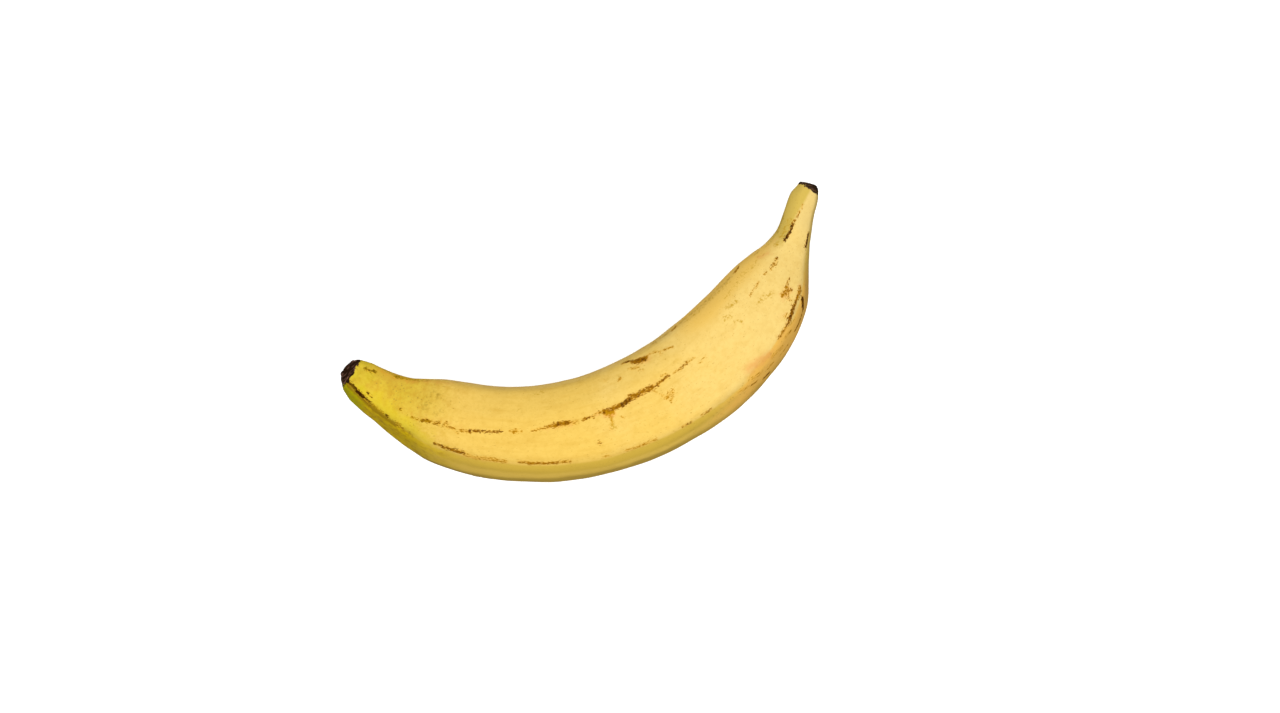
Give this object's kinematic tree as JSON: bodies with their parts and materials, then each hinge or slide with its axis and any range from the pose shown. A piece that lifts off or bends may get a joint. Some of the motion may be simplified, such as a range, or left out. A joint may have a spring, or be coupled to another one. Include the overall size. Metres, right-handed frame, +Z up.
{
  "type": "plantain",
  "caption": "Whole unpeeled plantain, bent and softly ridged, yellow with brown scars, with a dark blunt blossom end and a short cut stem, lying on its side.",
  "frame": {"origin": "middle of the fruit's bounding box seen from above, at the level of the surface that it lies on", "axes": "+X along the straight line from the blossom end to the cut stem, +Y towards the hollow side of the bend, +Z up from the surface"},
  "size_m": [0.2324, 0.0918, 0.0452],
  "materials": {
    "peel": "satin waxy fruit peel, yellow with a greener blossom end, brown scars along the ridges, near-black blossom scar and cut stem"
  },
  "bodies": {
    "root": {"plantain": "peel"}
  },
  "joints": []
}
